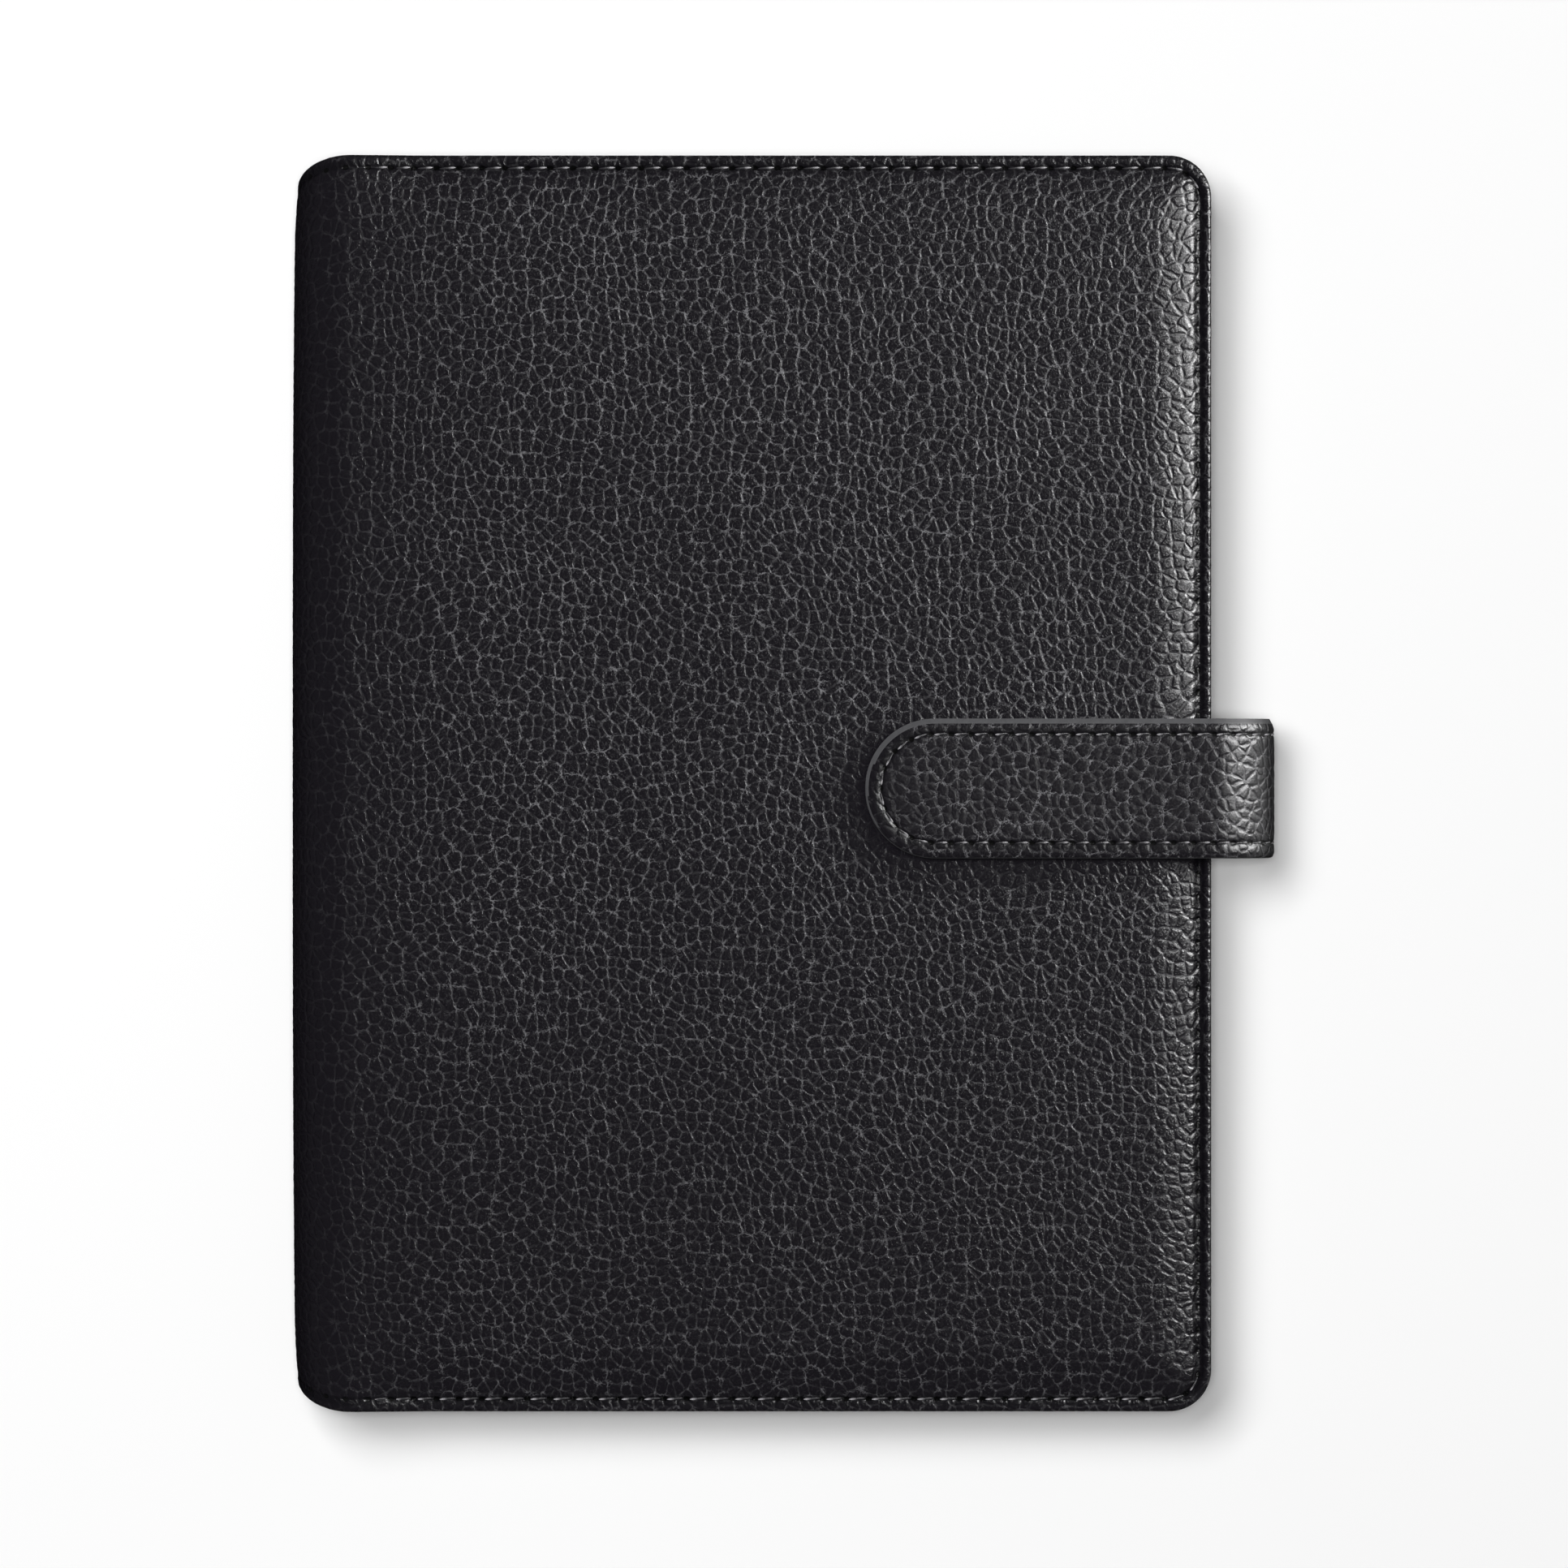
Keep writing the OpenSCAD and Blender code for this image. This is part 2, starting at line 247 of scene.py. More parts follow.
def on_cover(to_edge, y, depth):
    """Points of the front cover from their distance to the fore-edge, measured along the outside
    to the middle of the spine, their height and their depth below the outside."""
    along = cover_run - to_edge
    angle = np.clip(along / spine_r, 0, math.pi / 2)
    flat = np.maximum(along - arc_run, 0)
    bulge = 1 - spine_bow * np.abs(y / half_h) ** 3
    x = spine_x - (spine_r - depth) * np.cos(angle) * bulge + flat
    z = mid_z + (spine_r - depth) * np.sin(angle)
    taper = 1 - spine_pull / half_h * (1 - np.sin(angle))
    return np.stack([x, y * taper, z], axis=1)


def flip(points):
    """Puts points of the front cover on the back cover."""
    return points * [1, 1, -1] + [0, 0, top_z]


def round_off(to_side, to_end, radius):
    """Draws the square corner of a grid in to a round one."""
    p = np.maximum(radius - to_side, 0)
    q = np.maximum(radius - to_end, 0)
    reach = np.hypot(p, q)
    pull = np.divide(np.maximum(p, q), reach, out=np.ones_like(reach), where=reach > 0)
    return to_side + p * (1 - pull), to_end + q * (1 - pull)


def cover_pattern(share, columns, rows, inset=0):
    """Distance to the fore-edge and to the nearer end, height, and distance to the nearest of those
    edges, for a cover's grid with its two free corners rounded."""
    to_edge = lines_at(columns, 1 - share[:, 0])
    y = lines_at(rows, share[:, 1]) - half_h + inset
    to_end = half_h - inset - np.abs(y)
    edge = np.minimum(to_edge, to_end)
    to_edge, to_end = round_off(to_edge, to_end, corner_r - inset)
    return to_edge, to_end, np.sign(y) * (half_h - inset - to_end), edge


def seam_run(to_side, to_end, radius, inset, head_run, half_side):
    """Distance along a seam that runs head, corner, half of the side, for points near it."""
    p = np.maximum(radius - to_side, 0)
    q = np.maximum(radius - to_end, 0)
    turn = np.arctan2(p, q)
    corner = np.where((p > 0) & (q > 0), turn, np.where(to_side < to_end, math.pi / 2, 0))
    along_head = head_run - np.maximum(to_side - radius, 0)
    down_side = np.minimum(np.maximum(to_end - radius, 0), half_side)
    straight = np.where(to_side < to_end, head_run + down_side, along_head)
    return straight + corner * (radius - inset)


head_run = fore_x - corner_r - panel_x
half_side_run = half_h - corner_r
half_seam = head_run + (corner_r - stitch_inset) * math.pi / 2 + half_side_run
seam_stitches = 2 * round(half_seam / stitch_pitch)
seam_step = 2 * half_seam / seam_stitches


def border_share(x):
    """How deep the sewn border lies, as a share of its depth on the flat: shallower round the spine."""
    return 0.2 + 0.8 * ease(x, spine_x - 1 * MM, spine_x + 15 * MM)


def fore_share(to_edge, to_end):
    """How far a point belongs to the fore-edge's border, where the groove is deep and wide."""
    return ease(to_end, 2.5 * MM, 8 * MM) * (1 - ease(to_edge, 4 * MM, 5 * MM))


def pad_swell(columns, rows, place, held):
    """How far a padded slab swells at each point when its foam presses the leather out: a cloth
    simulation of the slab, with its sewn edges and its underside held."""
    piece = slab("swelling_pad", columns, rows)
    flat = points_of(piece)
    rest = place(flat)
    move_points(piece, rest)
    turn_faces_out(piece)
    pins = piece.vertex_groups.new(name="sewn")
    pins.add([int(i) for i in np.flatnonzero(held(flat))], 1, "REPLACE")
    cloth = piece.modifiers.new("swell", "CLOTH")
    settings = cloth.settings
    settings.quality = 6
    settings.mass = 0.4
    settings.tension_stiffness = 60
    settings.compression_stiffness = 60
    settings.shear_stiffness = 30
    settings.bending_stiffness = 8
    settings.use_pressure = True
    settings.uniform_pressure_force = 4
    settings.vertex_group_mass = "sewn"
    settings.effector_weights.gravity = 0
    scene = bpy.context.scene
    for number in range(1, 21):
        scene.frame_set(number)
    apply_modifiers(piece)
    scene.frame_set(1)
    rise = (points_of(piece) - rest)[:, 2]
    bpy.data.objects.remove(piece)
    return rise


def cover_painted_light(x, y, along):
    """How much of the creases' painted sheen shows: dimmed as painted shade on the spine and at the foot,
    and dimmed on the fore-edge's shoulder so that the creases there look dark between the lit pebbles.
    """
    # Painted shade: the sheen fades towards the middle of the spine and towards the foot.
    spine_shade = 0.03 + 0.97 * ease(along, 4 * MM, 45 * MM)
    foot_shade = 0.6 + 0.4 * ease(y, -110 * MM, 20 * MM)
    # On the shoulder by the fore-edge the painted sheen is dimmed.
    shoulder = ease(x, fore_x - 11 * MM, fore_x - 6 * MM) * (1 - ease(x, fore_x - 2 * MM, fore_x - 1 * MM))
    return spine_shade * foot_shade * (1 - 0.6 * shoulder)


def strap_shade(x, y):
    """Share of the creases' painted sheen left under the strap and about its tip: a painted shadow
    that lies a little down and to the left of the strap.
    """
    from_strap = np.hypot(np.maximum(snap_x - 3.5 * MM - x, 0), y - strap_y + 2.5 * MM)
    return 0.06 + 0.94 * ease(from_strap, strap_half, strap_half + 5 * MM)


def hide(name, is_back, grain_shift):
    """Leather of one cover with the foam under it, from the fore-edge round to the middle of the
    spine: a sewn border with a groove, a raised panel, and a turned-in edge beneath. The back one
    lies flat and has no snap in it."""
    columns_mm = mesh_lines(cover_run, 0.8 * MM, 4, at_start=BORDER_LINES)
    rows_mm = mesh_lines(2 * half_h, 0.8 * MM, 4, at_start=BORDER_LINES, at_end=BORDER_LINES)
    columns = (len(columns_mm) - 1) // 4
    rows = (len(rows_mm) - 1) // 4

    def base_depth(share):
        to_edge, to_end, y, edge = cover_pattern(share, columns_mm, rows_mm)
        x = fore_x - to_edge
        border = border_share(x)
        # The panel rises out of the border by a long shoulder, a short step and a wide crown.
        shoulder = (1 - np.clip((edge - 2.6 * MM) / (8 * MM), 0, 1)) ** 1.5
        step = (1 - np.clip((edge - 2.6 * MM) / (1.4 * MM), 0, 1)) ** 2
        crown = 1 - ease(to_edge, 0, 18 * MM) * ease(to_end, 0, 15 * MM)
        top = border * border_depth * (0.66 * shoulder + 0.16 * step + 0.18 * crown)
        return to_edge, to_end, y, edge, x, border, top

    def underside(x, edge):
        panel = np.where(edge < 3.5 * MM, turned_depth, panel_depth)
        return leather_t + ease(x, spine_x, panel_x) * (panel - leather_t)

    def place_pad(share):
        to_edge, _, y, edge, x, _, top = base_depth(share)
        depth = np.where(share[:, 2] > 0.5, top, underside(x, edge))
        return on_cover(to_edge, y, depth)

    def is_held(share):
        _, _, _, edge, x, _, _ = base_depth(share)
        return (share[:, 2] < 0.5) | (edge < 3.5 * MM) | (x < spine_x + 3 * MM)

    piece = slab(name, columns, rows)
    shares = points_of(piece)
    rise = pad_swell(columns, rows, place_pad, is_held)
    rise = np.maximum(rise, 0) / max(rise.max(), 1e-9)
    add_values(piece, "swell", rise)
    subdivide_top(piece, 3)

    share = points_of(piece)
    swell = values_of(piece, "swell")
    outside = share[:, 2] > 0.5
    to_edge, to_end, y, edge, x, border, top = base_depth(share)
    rim = 0.9 * MM * (1 - np.sqrt(1 - np.clip(1 - edge / (0.9 * MM), 0, 1) ** 2))
    fore = fore_share(to_edge, to_end)
    groove_half_width = (0.2 + 0.5 * fore) * MM
    groove = np.exp(-((edge - stitch_inset + groove_shift * fore) / groove_half_width) ** 2)
    groove *= (0.35 + 0.9 * fore) * MM
    top = top - 0.7 * MM * fore * (1 - ease(edge, 1.9 * MM, 3 * MM))
    seam = seam_run(to_edge, to_end, corner_r, stitch_inset, head_run, half_side_run)
    seam = np.where(y > 0, seam, 2 * half_seam - seam)
    # Each stitch pulls the leather down about it.
    pull = 0.5 + 0.5 * np.cos(2 * math.pi * seam / seam_step)
    near_seam = np.exp(-((edge - stitch_inset) / (1.1 * MM)) ** 2)
    pucker = 0.14 * MM * pull * near_seam
    panel = ease(edge, 2.6 * MM, 5 * MM)
    puff = 0 if is_back else swell_height
    depth = top + rim + border * (groove + pucker) - panel * puff * swell + pebble_rise
    relief_near_snap = 1
    if not is_back:
        # The mesh lines nearest the snap's well are drawn on to its rim.
        away = np.hypot(x - snap_x, y - strap_y)
        on_rim = (np.abs(away - snap_well_r) < 0.57 * MM) & outside
        push = np.where(on_rim, snap_well_r / np.maximum(away, MM), 1)
        to_edge = fore_x - (snap_x + (x - snap_x) * push)
        y = strap_y + (y - strap_y) * push
        in_well = (away < snap_well_r - 0.57 * MM) & outside
        depth = np.where(in_well, snap_well_depth, depth)
        relief_near_snap = ease(away, snap_well_r, snap_well_r + 1.5 * MM)
    depth = np.where(outside, depth, underside(x, edge))
    points = on_cover(to_edge, y, depth)
    move_points(piece, flip(points) if is_back else points)
    from_groove = np.abs(edge - stitch_inset + groove_shift)
    relief = outside * ease(edge, 0.2 * MM, 1 * MM) * relief_near_snap
    relief *= 0.3 + 0.7 * ease(from_groove, 0.5 * MM, 1.4 * MM)
    add_values(piece, "relief", relief)
    along = cover_run - to_edge
    # How much painted sheen the creases show, with the strap's painted shadow on the front cover.
    add_values(piece, "painted_light", cover_painted_light(x, y, along) * (1 if is_back else strap_shade(x, y)))
    # The grain runs on for 2.5 mm round the turned edge, so that it isn't stretched there.
    wall = np.where(outside, 0, 2.5 * MM)
    add_uv(piece, "grain", along + wall + grain_shift, y + wall)
    add_uv(piece, "seam", seam / seam_step, (edge - stitch_inset) / MM + np.where(outside, 0, 9))
    turn_faces_out(piece)
    raise_pebbles(piece, 2 * pebble_rise)
    smooth(piece, 60)
    return piece


# ---- the pebbled grain, the same in the meshes and in the material ----

PEBBLE = 2.05 * MM
PEBBLE_JUMBLE = 0.9


class Wire:
    """An output in a node tree. Sums and products of it add the nodes that work them out."""

    def __init__(self, tree, socket):
        self.tree = tree
        self.socket = socket

    def __add__(self, other):
        return maths("ADD", self, other)

    def __sub__(self, other):
        return maths("SUBTRACT", self, other)

    def __mul__(self, other):
        return maths("MULTIPLY", self, other)

    def __abs__(self):
        return maths("ABSOLUTE", self)


def link(value, socket):
    """Links a wire to an input, or sets the input to a plain value."""
    if isinstance(value, Wire):
        value.tree.links.new(value.socket, socket)
    else:
        socket.default_value = value


def add(tree, kind, links=None, output=0, **settings):
    """Adds a node with its settings and inputs, and gives one of its outputs."""
    node = tree.nodes.new(kind)
    for setting, value in settings.items():
        setattr(node, setting, value)
    for name, value in (links or {}).items():
        link(value, node.inputs[name])
    return Wire(tree, node.outputs[output]) if node.outputs else None


def maths(operation, first, second=0.0):
    return add(first.tree, "ShaderNodeMath", {0: first, 1: second}, operation=operation)


def vector_maths(operation, first, second):
    return add(first.tree, "ShaderNodeVectorMath", {0: first, 1: second}, operation=operation)


def split(vector):
    """The three parts of a vector."""
    node = vector.tree.nodes.new("ShaderNodeSeparateXYZ")
    link(vector, node.inputs[0])
    return [Wire(vector.tree, output) for output in node.outputs]


def rise_between(value, low, high, at_low=0.0, at_high=1.0):
    links = {"Value": value, "From Min": low, "From Max": high, "To Min": at_low, "To Max": at_high}
    return add(value.tree, "ShaderNodeMapRange", links, interpolation_type="SMOOTHSTEP")


def noise(vector, size, detail=2.0, roughness=0.5, flat=True, colour=False):
    """Noise whose blotches are about size metres across."""
    links = {"Vector": vector, "Scale": 1 / size, "Detail": detail, "Roughness": roughness}
    dimensions = "2D" if flat else "3D"
    return add(vector.tree, "ShaderNodeTexNoise", links, int(colour), noise_dimensions=dimensions)


def cells(vector, size, jumble=1.0, feature="DISTANCE_TO_EDGE", flat=True):
    """Distance to the nearest edge between cells about size metres across, in cells, or to the
    middle of the nearest one if the feature is F1."""
    links = {"Vector": vector, "Scale": 1 / size, "Randomness": jumble}
    settings = {"voronoi_dimensions": "2D" if flat else "3D", "feature": feature}
    return add(vector.tree, "ShaderNodeTexVoronoi", links, "Distance", **settings)


def shaken(vector, size, reach):
    """The vector moved about by up to half of reach, in blotches of a size."""
    colour = noise(vector, size, detail=1.0, colour=True)
    centred = vector_maths("SUBTRACT", colour, (0.5, 0.5, 0.5))
    return vector_maths("ADD", vector, vector_maths("MULTIPLY", centred, (reach, reach, 0)))


def pebble_edges(vector):
    """The vector as it is where the hide is stretched, so that the pebbles lean and lengthen in
    places, and its distance to the nearest crease of the grain."""
    wavy = shaken(shaken(vector, 30 * MM, 5 * MM), 1.6 * MM, 0.6 * MM)
    return wavy, cells(wavy, PEBBLE, PEBBLE_JUMBLE)


def pebble_relief():
    """A node group that raises the pebbles of a mesh, where its attribute called relief isn't 0."""
    tree = bpy.data.node_groups.new("pebble_relief", "GeometryNodeTree")
    tree.interface.new_socket("Geometry", in_out="INPUT", socket_type="NodeSocketGeometry")
    tree.interface.new_socket("Height", in_out="INPUT", socket_type="NodeSocketFloat")
    tree.interface.new_socket("Geometry", in_out="OUTPUT", socket_type="NodeSocketGeometry")
    grain = add(tree, "GeometryNodeInputNamedAttribute", {"Name": "grain"}, data_type="FLOAT_VECTOR")
    relief = add(tree, "GeometryNodeInputNamedAttribute", {"Name": "relief"}, data_type="FLOAT")
    _, crease = pebble_edges(grain)
    lift = rise_between(crease, 0.0, 0.3, -0.5, 0.5) * relief
    lift *= add(tree, "NodeGroupInput", output="Height")
    normal = add(tree, "GeometryNodeInputNormal")
    offset = add(tree, "ShaderNodeVectorMath", {0: normal, "Scale": lift}, operation="SCALE")
    links = {"Geometry": add(tree, "NodeGroupInput", output="Geometry"), "Offset": offset}
    add(tree, "NodeGroupOutput", {"Geometry": add(tree, "GeometryNodeSetPosition", links)})
    return tree


PEBBLE_RELIEF = pebble_relief()


def raise_pebbles(piece, height):
    """Raises the pebbles of the grain in the mesh itself."""
    modifier = piece.modifiers.new("pebbles", "NODES")
    modifier.node_group = PEBBLE_RELIEF
    modifier[PEBBLE_RELIEF.interface.items_tree["Height"].identifier] = height
    apply_modifiers(piece)


# ---- materials ----

def new_material(name, **finish):
    """An empty material with its surface shader, whose sockets are set from finish."""
    material = bpy.data.materials.new(name)
    material.use_nodes = True
    tree = material.node_tree
    tree.nodes.clear()
    shader = add(tree, "ShaderNodeBsdfPrincipled", finish)
    add(tree, "ShaderNodeOutputMaterial", {"Surface": shader})
    return material, tree, shader.socket.node.inputs


def uv(tree, name):
    return add(tree, "ShaderNodeUVMap", uv_map=name)


def place(tree):
    return add(tree, "ShaderNodeTexCoord", output="Object")


def wave(turns):
    """A wave between -1 and 1, of one length for each turn."""
    return maths("SINE", turns * (2 * math.pi))


def blend_colours(share, first, second):
    return add(share.tree, "ShaderNodeMix", {0: share, 6: first, 7: second}, 2, data_type="RGBA")


def bumped(surface, height, distance, strength=1.0):
    links = {"Height": height, "Distance": distance, "Strength": strength}
    link(add(height.tree, "ShaderNodeBump", links), surface["Normal"])


def painted_sheen_strands(wavy, star):
    """Frayed strands along the creases, painted pale as the sheen of their fine wrinkles, in layers
    that stray from each other, palest where creases meet."""
    layers = []
    for shift in (3 * MM, 7 * MM, 11 * MM, 15 * MM):
        moved = vector_maths("ADD", wavy, (shift, shift, 0))
        strand = vector_maths("SUBTRACT", shaken(moved, 1.0 * MM, 1.2 * MM), (shift, shift, 0))
        line = rise_between(cells(strand, PEBBLE, PEBBLE_JUMBLE), 0.0, 0.034, 1.0, 0.0)
        fade = rise_between(noise(moved, 1.0 * MM, detail=1.0), 0.45, 0.58)
        layers.append(line * fade * 0.8)
    return sum(layers[1:], layers[0]) * (star * 0.8 + 0.27)


def painted_sheen_hairs(grain, star):
    """Hairs that run across the pebbles, painted pale as a sheen, most of them where creases meet."""
    hair = rise_between(cells(shaken(grain, 0.9 * MM, 0.9 * MM), 0.75 * MM), 0.0, 0.1, 1.0, 0.0)
    fray = rise_between(noise(grain, 0.7 * MM, detail=1.0), 0.4, 0.6)
    return hair * (star * 0.7 + 0.12) * fray


def seam_marks(tree):
    """How far a point is in a stitch's hole and in the groove, both painted dark as shade."""
    stitch, across, _ = split(uv(tree, "seam"))
    between = maths("FRACT", stitch + 0.5) - 0.5
    long_way = between * (stitch_pitch / (0.62 * MM))
    short_way = across * (1 / 0.42)
    hole = rise_between(long_way * long_way + short_way * short_way, 0.5, 1.3, 1.0, 0.0)
    # Painted shade: a band along the groove, made near-black in the colour.
    sunk = rise_between(abs(across + groove_shift / MM), 0.5, 1.1, 0.9, 0.0)
    return hole, sunk


def pebbled_leather(name, bump, roughness):
    """Black pebbled leather: glossy dark pebbles between creases of frayed strands painted pale as their
    sheen, which a point attribute of the mesh dims in places as painted shade."""
    material, tree, surface = new_material(name, **{"Specular IOR Level": 0.45})
    grain = uv(tree, "grain")
    wavy, crease = pebble_edges(grain)
    star = rise_between(cells(wavy, PEBBLE, PEBBLE_JUMBLE, "F1"), 0.38, 0.72)
    # Painted sheen: the creases' strands and hairs are painted paler in place of the light their wrinkles
    # catch.
    painted_sheen = maths("MINIMUM", painted_sheen_strands(wavy, star) + painted_sheen_hairs(grain, star), 1.0)
    # The attribute is how much painted sheen shows; where it is low, the creases get painted shade.
    painted_light = add(tree, "ShaderNodeAttribute", output="Fac", attribute_name="painted_light")
    patchy = rise_between(noise(grain, 45 * MM, detail=1.0), 0.3, 0.7, 0.8, 1.0)
    hole, sunk = seam_marks(tree)
    # The paler colour is the creases' painted sheen.
    colour = blend_colours(painted_sheen * patchy * painted_light, (0.0062, 0.0053, 0.0075, 1), (0.175, 0.173, 0.183, 1))
    # Painted shade in the groove and in the stitch holes.
    colour = blend_colours(sunk, colour, (0.004, 0.0035, 0.005, 1))
    link(blend_colours(hole, colour, (0.002, 0.002, 0.002, 1)), surface["Base Color"])
    link(rise_between(crease, 0.0, 0.15, roughness + 0.07, roughness), surface["Roughness"])
    dome = rise_between(crease, 0.0, 0.26)
    crinkle = rise_between(cells(shaken(grain, 0.6 * MM, 0.8 * MM), 0.5 * MM), 0.0, 0.2)
    fine = noise(grain, 0.25 * MM, detail=1.0)
    bumped(surface, dome + crinkle * 0.17 + fine * 0.09 - hole * 1.5, 0.085 * MM, bump)
    return material


def smooth_leather(name, colour, paler):
    """Smooth leather with fine pores, as on the pockets and the strap's lining."""
    material, tree, surface = new_material(name, **{"Specular IOR Level": 0.4})
    spot = place(tree)
    pores = cells(spot, 0.7 * MM, flat=False)
    cloud = noise(spot, 12 * MM, detail=3.0, flat=False)
    share = rise_between(pores, 0.0, 0.2, 1.0, 0.0) * cloud
    link(blend_colours(share, colour, paler), surface["Base Color"])
    link(rise_between(cloud, 0.3, 0.7, 0.42, 0.55), surface["Roughness"])
    bumped(surface, rise_between(pores, 0.0, 0.2), 0.06 * MM, 0.7)
    return material


def woven_cloth(name, colour, paler, thread=0.35 * MM):
    """Woven cloth: threads that go over and under each other, with a soft bloom."""
    finish = {"Roughness": 0.85, "Sheen Weight": 0.25, "Sheen Roughness": 0.5, "Specular IOR Level": 0.25}
    material, tree, surface = new_material(name, **finish)
    x, y, z = split(place(tree))
    weave = wave((x + z) * (0.5 / thread)) * wave(y * (0.5 / thread))
    slub = noise(place(tree), 2.5 * MM, detail=3.0, flat=False)
    link(blend_colours(weave * 0.3 + slub, colour, paler), surface["Base Color"])
    bumped(surface, weave, 0.05 * MM, 0.8)
    return material


def speckled(name, colour, other, size, rough, bump, **finish):
    """A plain solid stuff with a fine fleck: board, foam, paint or ferrite."""
    material, tree, surface = new_material(name, **finish)
    fleck = noise(place(tree), size, detail=4.0, roughness=0.65, flat=False)
    link(blend_colours(fleck, colour, other), surface["Base Color"])
    link(rise_between(fleck, 0.2, 0.8, rough - 0.08, rough + 0.08), surface["Roughness"])
    bumped(surface, fleck, bump, 0.6)
    return material


def twisted_thread(name, colour, paler):
    """Waxed thread whose strands wind round it, with a painted glint along the far half of each stitch."""
    material, tree, surface = new_material(name, **{"Specular IOR Level": 0.5, "Roughness": 0.4})
    along, turn, _ = split(uv(tree, "strand"))
    strand = abs(wave(along * 5.0 + turn))
    # Painted glint: the thread turns paler along the far half of each stitch.
    share = rise_between(along, 0.5, 0.85) * (strand * 0.5 + 0.5)
    link(blend_colours(share, colour, paler), surface["Base Color"])
    bumped(surface, strand, 0.06 * MM, 0.8)
    return material


def page_paper(name):
    """Off-white paper: leaf edges at the sides, with painted shade in the lines between the leaves,
    and ruled lines on the page faces.
    """
    material, tree, surface = new_material(name, **{"Roughness": 0.75, "Specular IOR Level": 0.3})
    _, y, z = split(place(tree))
    _, _, up = split(add(tree, "ShaderNodeNewGeometry", output="Normal"))
    flat = rise_between(abs(up), 0.6, 0.8)
    uneven = noise(place(tree), 9 * MM, detail=1.0, flat=False)
    leaf = abs(wave((uneven * (0.5 * MM) + z) * (0.5 / (0.16 * MM))))
    leaf = maths("MAXIMUM", leaf, flat)
    rule = rise_between(abs(wave(y * (0.5 / (7 * MM)))), 0.03, 0.09, 1.0, 0.0) * flat * 0.7
    # Painted shade: the darker colour lies in the lines between the leaves.
    paper = blend_colours(leaf, (0.52, 0.49, 0.42, 1), (0.84, 0.81, 0.73, 1))
    link(blend_colours(rule, paper, (0.42, 0.5, 0.58, 1)), surface["Base Color"])
    bumped(surface, leaf, 0.05 * MM, 0.8)
    return material


def turned_metal(name, colour, rough, grain_size):
    """Plated metal with the faint scratches of handling."""
    material, tree, surface = new_material(name, **{"Metallic": 1.0, "Base Color": colour})
    scratch = noise(place(tree), grain_size, detail=5.0, roughness=0.7, flat=False)
    link(rise_between(scratch, 0.25, 0.75, rough - 0.07, rough + 0.12), surface["Roughness"])
    bumped(surface, scratch, 0.01 * MM, 0.5)
    return material


HIDE_LEATHER = pebbled_leather("black_pebbled_leather", 1.0, 0.27)
STRAP_LEATHER = pebbled_leather("black_strap_leather", 0.75, 0.33)
POCKET_LEATHER = smooth_leather("smooth_pocket_leather", (0.016, 0.015, 0.018, 1), (0.05, 0.049, 0.055, 1))
STRAP_LINING = smooth_leather("smooth_strap_lining", (0.02, 0.019, 0.022, 1), (0.07, 0.068, 0.075, 1))
PAINT_SHADES = (0.058, 0.058, 0.062, 1), (0.085, 0.085, 0.09, 1)
EDGE_PAINT = speckled("painted_edge", *PAINT_SHADES, 1.5 * MM, 0.5, 0.03 * MM)
LINING_CLOTH = woven_cloth("charcoal_lining", (0.03, 0.03, 0.034, 1), (0.085, 0.085, 0.09, 1))
BOOK_CLOTH = woven_cloth("notebook_cloth", (0.012, 0.016, 0.026, 1), (0.035, 0.042, 0.06, 1), 0.45 * MM)
BOARD_SHADES = (0.3, 0.28, 0.25, 1), (0.42, 0.4, 0.36, 1)
GREY_BOARD = speckled("grey_board", *BOARD_SHADES, 0.5 * MM, 0.85, 0.05 * MM)
# The thread's paler colour is its painted glint.
THREAD = twisted_thread("charcoal_thread", (0.025, 0.024, 0.027, 1), (0.42, 0.41, 0.43, 1))
PAPER = page_paper("ruled_paper")
NICKEL = turned_metal("nickel_plate", (0.62, 0.61, 0.6, 1), 0.25, 0.4 * MM)
FERRITE = speckled("ferrite", (0.03, 0.03, 0.032, 1), (0.06, 0.058, 0.06, 1), 0.25 * MM, 0.6, 0.02 * MM)


def cover_with(piece, *materials):
    piece.data.materials.clear()
    for material in materials:
        piece.data.materials.append(material)


# ---- stitches ----

def stitch_bead(length, width, height, dip):
    """One stitch along X: a short round thread whose ends dive into their holes."""
    put_down()
    bpy.ops.mesh.primitive_uv_sphere_add(segments=8, ring_count=7, radius=0.5, rotation=(0, math.pi / 2, 0))
    bead = named("stitch_bead")
    points = points_of(bead)
    ends = np.abs(points[:, 0] * 2)
    round_girth = np.sqrt(np.maximum(1 - ends ** 2, 0))
    girth = np.clip(1 - ends ** 4, 0.3, 1) / np.maximum(round_girth, 1e-3)
    girth = np.where(ends < 0.999, girth, 0)
    strand = points[:, 0] + 0.5
    turn = np.arctan2(points[:, 2], points[:, 1]) / (2 * math.pi)
    points = points * np.stack([np.full_like(girth, length), width * girth, height * girth], axis=1)
    points[:, 2] -= dip * ends ** 3
    move_points(bead, points)
    add_uv(bead, "strand", strand, turn)
    return bead


